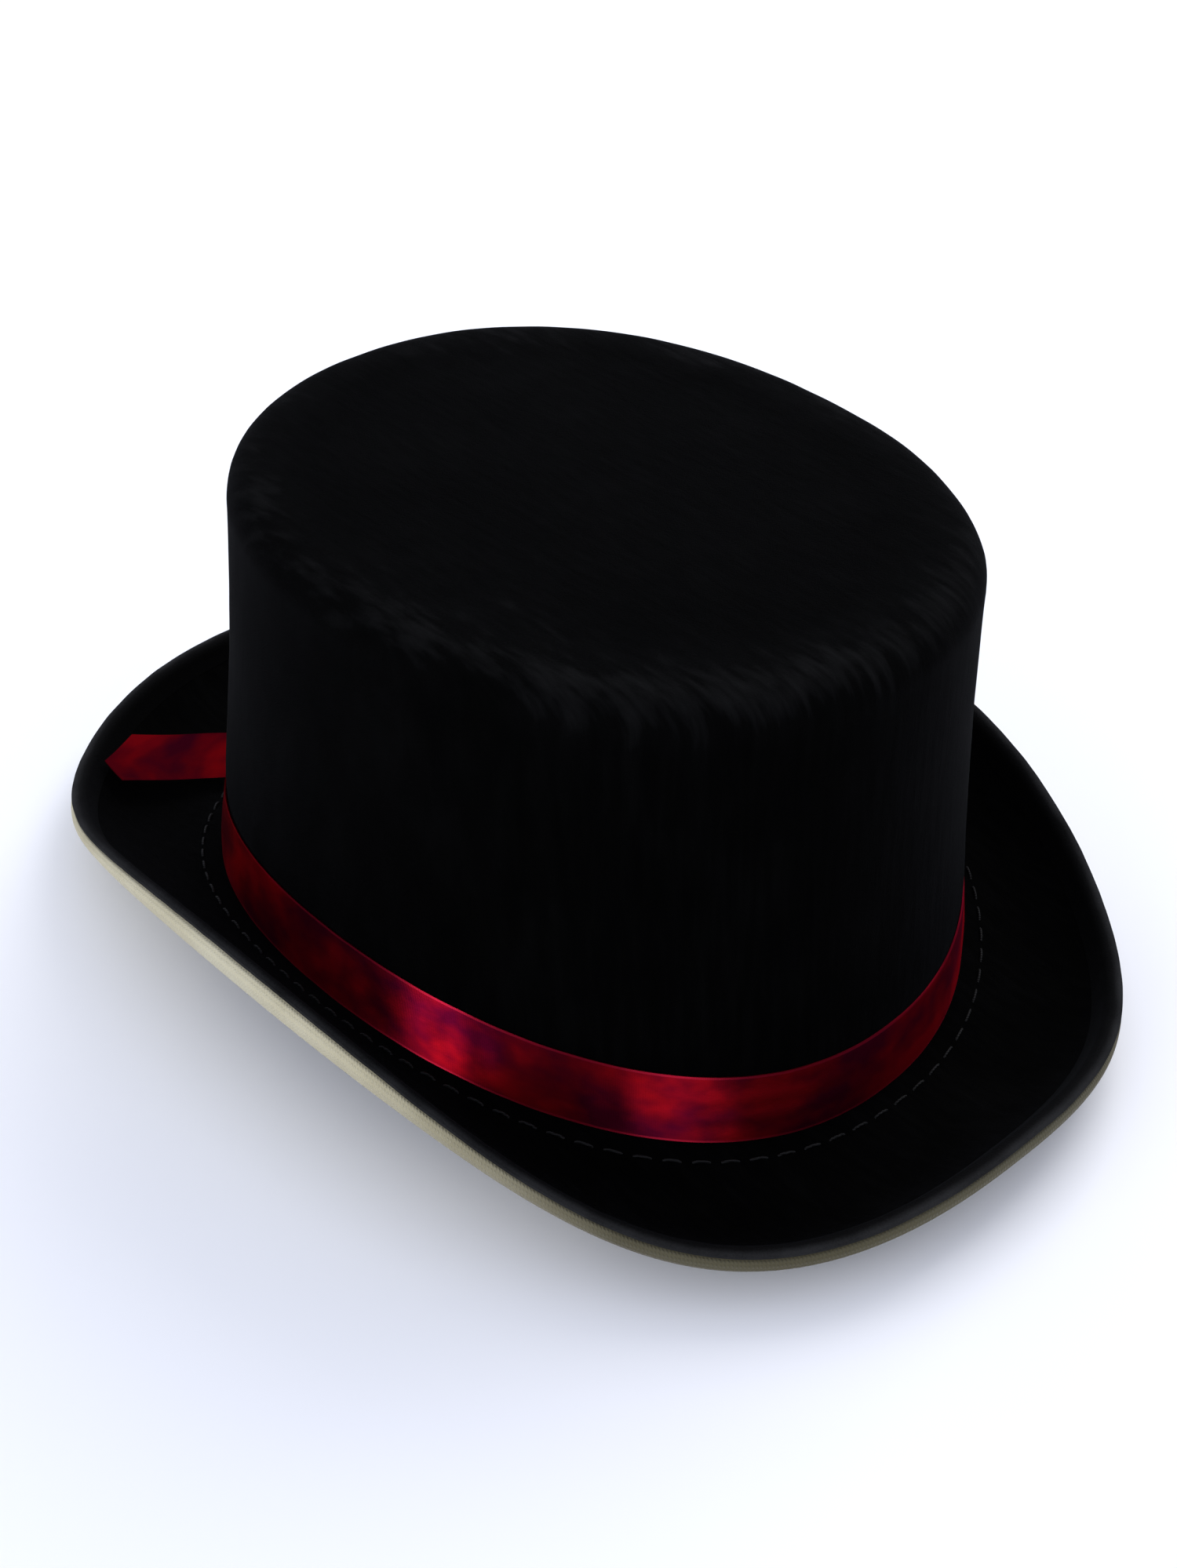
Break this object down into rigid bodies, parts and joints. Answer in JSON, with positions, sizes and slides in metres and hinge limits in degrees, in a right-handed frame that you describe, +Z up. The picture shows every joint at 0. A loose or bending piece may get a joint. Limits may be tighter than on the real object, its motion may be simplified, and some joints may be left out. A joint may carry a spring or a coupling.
{
  "type": "top hat",
  "caption": "Black moulded top hat with a straight crown, side-curled brim, red satin band and pointed ribbon tails.",
  "frame": {"origin": "under the middle of the hat's outline, on the surface that it rests on", "axes": "+Z up, -Y towards the wearer's front, +X towards the wearer's left"},
  "size_m": [0.23, 0.309, 0.135],
  "materials": {
    "velour": "deep matt pile",
    "foam": "beige knit-faced foam",
    "binding": "matt black cloth",
    "satin": "shiny deep red satin",
    "steel": "plain wire",
    "thread": "black thread",
    "sweat_cloth": "black twill tape"
  },
  "bodies": {
    "hat": {"band_knot": "satin", "brim_board": "foam", "brim_cover": "velour", "crown_cover": "velour", "crown_tip": "foam", "crown_wall": "foam", "edge_binding": "binding", "hat_band": "satin", "headline_stitches": "thread", "headsize_ring": "sweat_cloth", "lead_left": "satin", "lead_right": "satin", "rim_wire": "steel", "sweatband": "sweat_cloth", "sweatband_stitches": "thread", "sweatband_tape": "sweat_cloth", "wire_sleeve": "steel"},
    "tail_right_flap": {"tail_right": "satin"},
    "tail_left_flap": {"tail_left": "satin"}
  },
  "joints": [
    {"name": "tail_right_lift", "type": "hinge", "parent": "hat", "child": "tail_right_flap", "pos_m": [-0.03261, 0.09908, 0.01048], "axis": [0.934, 0.3572, 0], "range_deg": [0, 75]},
    {"name": "tail_left_lift", "type": "hinge", "parent": "hat", "child": "tail_left_flap", "pos_m": [0.03083, 0.09974, 0.01028], "axis": [0.942, -0.3356, 0], "range_deg": [0, 75]}
  ]
}
